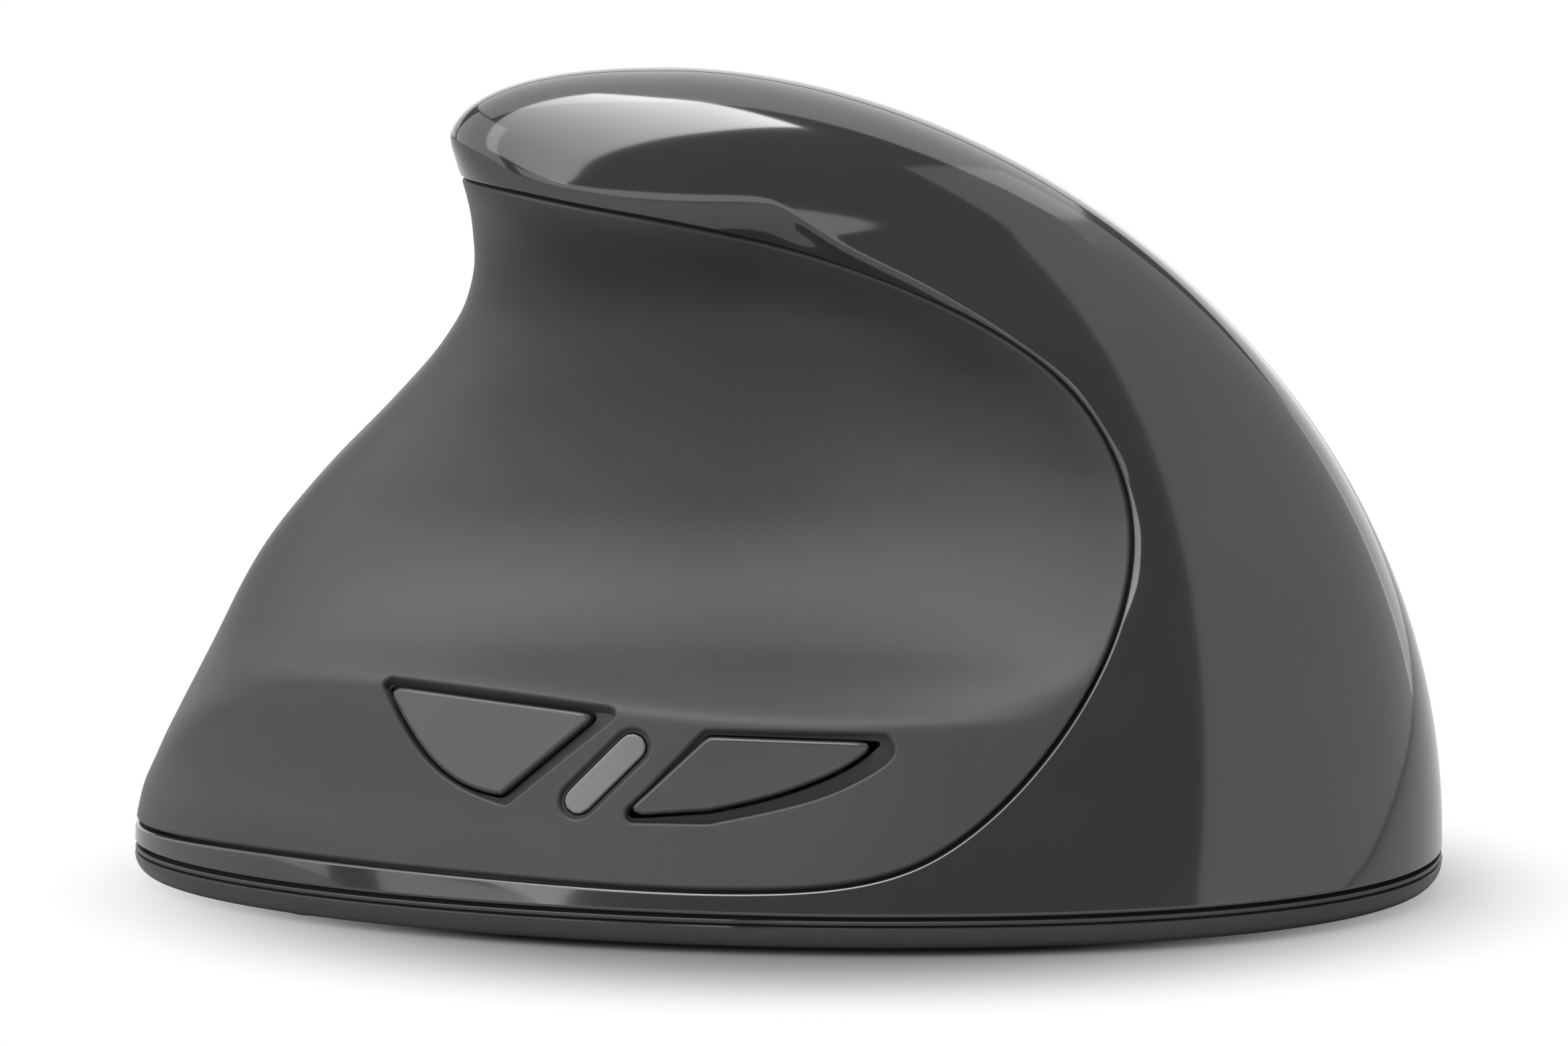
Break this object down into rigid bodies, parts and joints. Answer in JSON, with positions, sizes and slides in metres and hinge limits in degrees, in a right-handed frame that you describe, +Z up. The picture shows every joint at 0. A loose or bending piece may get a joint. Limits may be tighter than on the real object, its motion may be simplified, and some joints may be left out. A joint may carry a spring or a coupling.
{
  "type": "vertical computer mouse",
  "caption": "Right-handed vertical wireless mouse: gloss shell, soft thumb panel, thumb and finger buttons, scroll wheel, base with battery door and stored receiver.",
  "frame": {"origin": "middle of the whole mouse's footprint, on the desk that the glide feet stand on", "axes": "+X forward to the fingertips, +Y to the thumb side, +Z up"},
  "size_m": [0.12, 0.061, 0.075],
  "materials": {
    "gloss_shell": "gloss",
    "soft_panel": "soft-touch matte",
    "gloss_button": "gloss",
    "tray_plastic": "satin",
    "lens_plastic": "translucent",
    "wheel_rubber": "matte",
    "dark_plastic": "satin",
    "frame_plastic": "satin",
    "white_plastic": "satin",
    "glide_plastic": "low-friction film",
    "board_green": "solder mask",
    "chip_black": "moulded",
    "clear_lens": "clear",
    "spring_steel": "bright",
    "screw_steel": "plated",
    "cell_jacket": "plain jacket",
    "plug_steel": "bright",
    "cable_film": "flat cable"
  },
  "bodies": {
    "casing": {"top_shell": "gloss_shell", "thumb_panel": "soft_panel", "wheel_bezel": "dark_plastic", "base_tray": "tray_plastic", "indicator_lens": "lens_plastic", "inner_frame": "frame_plastic", "switch_board": "board_green", "left_switch": "white_plastic", "right_switch": "white_plastic", "pivot_bracket": "frame_plastic", "pivot_rod": "screw_steel", "carrier_mount": "frame_plastic", "click_switch": "chip_black", "dpi_switch": "chip_black", "thumb_board": "board_green", "thumb_bracket": "frame_plastic", "forward_switch": "chip_black", "back_switch": "chip_black", "indicator_led": "white_plastic", "main_board": "board_green", "sensor_chip": "chip_black", "sensor_lens": "clear_lens", "processor_chip": "chip_black", "power_switch": "chip_black", "battery": "cell_jacket", "contact_plate": "spring_steel", "contact_spring": "spring_steel", "board_cable": "cable_film", "front_foot": "glide_plastic", "rear_foot": "glide_plastic", "case_screws": "screw_steel", "board_screws": "screw_steel"},
    "left_button": {"left_button": "gloss_shell"},
    "right_button": {"right_button": "gloss_shell"},
    "carrier": {"wheel_carrier": "frame_plastic", "wheel_encoder": "white_plastic"},
    "wheel": {"wheel_hub": "dark_plastic", "wheel_tyre": "wheel_rubber"},
    "dpi_button": {"dpi_button": "gloss_button"},
    "forward_button": {"forward_button": "gloss_button"},
    "back_button": {"back_button": "gloss_button"},
    "power_knob": {"power_knob": "white_plastic"},
    "battery_door": {"battery_door": "tray_plastic"},
    "receiver": {"receiver_grip": "dark_plastic", "receiver_plug": "plug_steel"}
  },
  "joints": [
    {"name": "left_click", "type": "hinge", "parent": "casing", "child": "left_button", "pos_m": [-0.0125, -0.013, 0.0437], "axis": [0, 0.3881, 0.9216], "range_deg": [0, 0.7], "stiffness_Nm_per_rad": 1.5, "springref_deg": -1.15},
    {"name": "right_click", "type": "hinge", "parent": "casing", "child": "right_button", "pos_m": [-0.0125, -0.013, 0.0437], "axis": [0, 0.3881, 0.9216], "range_deg": [0, 0.7], "stiffness_Nm_per_rad": 1.5, "springref_deg": -1.15},
    {"name": "wheel_click", "type": "hinge", "parent": "casing", "child": "carrier", "pos_m": [0.0005, -0.01115, 0.04292], "axis": [0, 0.3881, 0.9216], "range_deg": [0, 1.3], "stiffness_Nm_per_rad": 1, "springref_deg": -1.72},
    {"name": "wheel_spin", "type": "hinge", "parent": "carrier", "child": "wheel", "pos_m": [0.014, -0.0142, 0.04421], "axis": [0, 0.3881, 0.9216], "continuous": true},
    {"name": "dpi_press", "type": "slide", "parent": "casing", "child": "dpi_button", "axis": [0, 0.9216, -0.3881], "range_m": [0, 0.0003], "stiffness_N_per_m": 400, "springref_m": -0.001},
    {"name": "forward_press", "type": "slide", "parent": "casing", "child": "forward_button", "axis": [-0.1731, -0.9514, -0.2548], "range_m": [0, 0.0005], "stiffness_N_per_m": 400, "springref_m": -0.001},
    {"name": "back_press", "type": "slide", "parent": "casing", "child": "back_button", "axis": [-0.1731, -0.9514, -0.2548], "range_m": [0, 0.0005], "stiffness_N_per_m": 400, "springref_m": -0.001},
    {"name": "power_slide", "type": "slide", "parent": "casing", "child": "power_knob", "axis": [1, 0, 0], "range_m": [0, 0.0025]},
    {"name": "door_off", "type": "slide", "parent": "casing", "child": "battery_door", "axis": [0, 0, -1], "range_m": [0, 0.012]},
    {"name": "receiver_out", "type": "slide", "parent": "casing", "child": "receiver", "axis": [-1, 0, 0], "range_m": [0, 0.02]}
  ]
}
